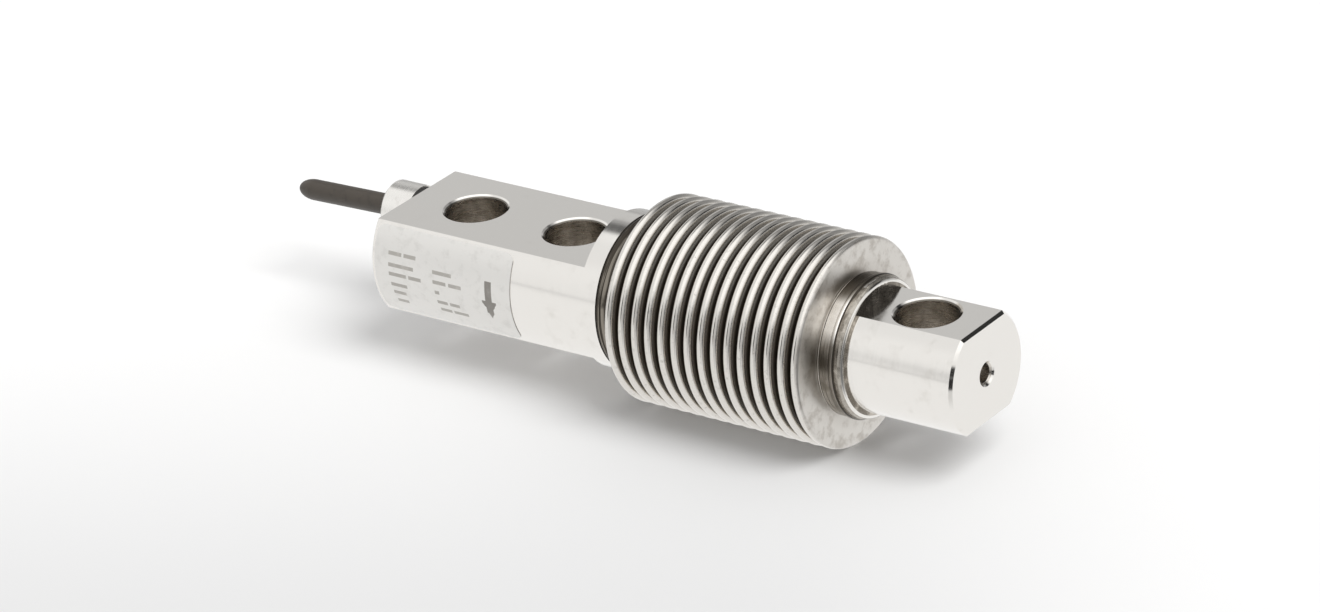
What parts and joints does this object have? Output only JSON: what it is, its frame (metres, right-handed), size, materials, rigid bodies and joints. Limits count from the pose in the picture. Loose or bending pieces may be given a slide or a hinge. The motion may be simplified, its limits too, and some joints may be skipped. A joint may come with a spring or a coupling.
{
  "type": "bellows load cell",
  "caption": "Bending-beam load cell with a round bar body, flats and cross holes at both ends, welded metal bellows over the gauge beam, and a side cable gland.",
  "frame": {"origin": "on the bar's axis, midway between the two mounting holes", "axes": "+X along the bar from the cable end to the load end; +Z square to the flats and along the cross holes, against the marked load direction; the cable gland is offset towards +Y"},
  "size_m": [0.1556, 0.0368, 0.0368],
  "materials": {
    "bar_steel": "finely turned and milled stainless steel",
    "bellows_steel": "formed stainless steel with a smudged satin bloom",
    "ring_steel": "welded and mottled stainless steel",
    "gland_metal": "bright turned steel",
    "black_rubber": "matt seal rubber",
    "cable_sheath": "matt dark brown-grey cable jacket",
    "tinned_braid": "fine tinned braid",
    "black_insulation": "smooth wire insulation",
    "red_insulation": "smooth wire insulation",
    "green_insulation": "smooth wire insulation",
    "white_insulation": "smooth wire insulation",
    "board_laminate": "glass laminate with solder mask",
    "screw_steel": "plain steel screw",
    "resistor_body": "chip resistor body",
    "gauge_foil": "amber carrier film with a foil grid",
    "lead_ribbon": "flat enamelled lead",
    "label_silver": "silver polyester film"
  },
  "bodies": {
    "root": {"spring_element": "bar_steel", "bellows": "bellows_steel", "rear_end_ring": "ring_steel", "front_end_ring": "ring_steel", "gland_body": "gland_metal", "gland_nut": "gland_metal", "gland_o_ring": "black_rubber", "gland_grommet": "black_rubber", "cable_jacket": "cable_sheath", "cable_shield": "tinned_braid", "core_black": "black_insulation", "core_red": "red_insulation", "core_green": "green_insulation", "core_white": "white_insulation", "channel_seal": "black_rubber", "terminal_board": "board_laminate", "board_screw_upper": "screw_steel", "board_screw_lower": "screw_steel", "trim_resistor_upper": "resistor_body", "trim_resistor_lower": "resistor_body", "gauge_rear_top": "gauge_foil", "gauge_rear_bottom": "gauge_foil", "gauge_front_top": "gauge_foil", "gauge_front_bottom": "gauge_foil", "gauge_lead_rear_top": "lead_ribbon", "gauge_lead_rear_bottom": "lead_ribbon", "gauge_lead_front_top": "lead_ribbon", "gauge_lead_front_bottom": "lead_ribbon", "label_film": "label_silver"}
  },
  "joints": []
}
